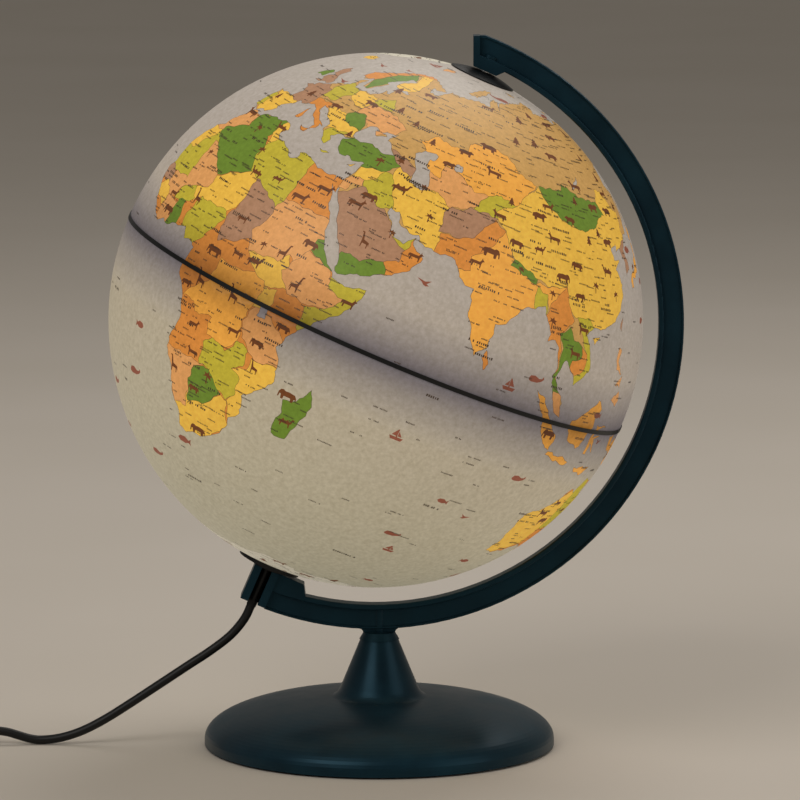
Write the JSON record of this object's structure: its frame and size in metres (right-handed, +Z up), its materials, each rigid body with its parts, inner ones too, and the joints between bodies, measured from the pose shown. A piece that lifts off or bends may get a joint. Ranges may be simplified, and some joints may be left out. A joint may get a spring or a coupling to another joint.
{
  "type": "desktop globe",
  "caption": "Illuminated desktop globe turning on a leaning axis between the ends of a half-circle arc, on a round domed base, with a lamp inside and a mains cord with switch and plug.",
  "frame": {"origin": "centre of the underside of the base, on the table", "axes": "+Z up, +Y to the back; the polar axis lies in the XZ plane and leans 23.5 degrees towards +X, where the arc passes the globe; the cord leaves towards -X"},
  "size_m": [0.5079, 0.301, 0.403],
  "materials": {
    "petrol_abs": "satin moulded",
    "black_abs": "satin moulded",
    "cast_iron": "rough cast",
    "zinc_steel": "zinc plated",
    "polished_steel": "ground and polished",
    "foot_rubber": "matt",
    "nylon": "natural nylon",
    "printed_globe": "printed and varnished, translucent",
    "thermoset": "moulded",
    "steatite": "unglazed",
    "brass": "stamped",
    "nickel": "nickel plated",
    "opal_glass": "frosted inside",
    "clear_glass": "clear",
    "tungsten": "drawn wire",
    "black_pvc": "smooth",
    "soft_pvc": "matt"
  },
  "bodies": {
    "stand": {"base_shell": "petrol_abs", "base_ballast": "cast_iron", "base_cover": "black_abs", "cover_screws": "zinc_steel", "foot_ring": "foot_rubber", "neck_screw": "zinc_steel", "neck_washer": "zinc_steel", "meridian_arc": "petrol_abs", "pivot_pin": "polished_steel", "holder_stem": "black_abs", "stem_screw": "zinc_steel", "holder_body": "thermoset", "socket_insert": "steatite", "socket_shell": "brass", "socket_contact": "brass", "bulb_cap": "nickel", "bulb_glass": "opal_glass", "bulb_mount": "clear_glass", "bulb_filament": "tungsten", "lamp_lead": "black_pvc", "lead_sleeve": "soft_pvc", "cord_to_switch": "black_pvc", "switch_base": "black_abs", "switch_cover": "black_abs", "switch_contacts": "brass", "switch_screws": "zinc_steel", "switch_boots": "soft_pvc", "cord_to_coil": "black_pvc", "cord_coil": "black_pvc", "coil_tie": "soft_pvc", "cord_to_plug": "black_pvc", "plug_body": "black_pvc", "plug_boot": "soft_pvc", "plug_pins": "nickel", "pin_sleeves": "black_pvc"},
    "globe": {"northern_hemisphere": "printed_globe", "southern_hemisphere": "printed_globe", "equator_band": "black_abs", "north_cap": "black_abs", "pivot_bush": "nylon", "south_collar": "black_abs"},
    "rocker": {"switch_rocker": "black_abs"}
  },
  "joints": [
    {"name": "globe_spin", "type": "hinge", "parent": "stand", "child": "globe", "pos_m": [-0.0019, 0, 0.24253], "axis": [0.3987, 0, 0.9171], "continuous": true},
    {"name": "rocker_tilt", "type": "hinge", "parent": "stand", "child": "rocker", "pos_m": [-0.262, 0, 0.0136], "axis": [0, -1, 0], "range_deg": [0, 14]}
  ]
}
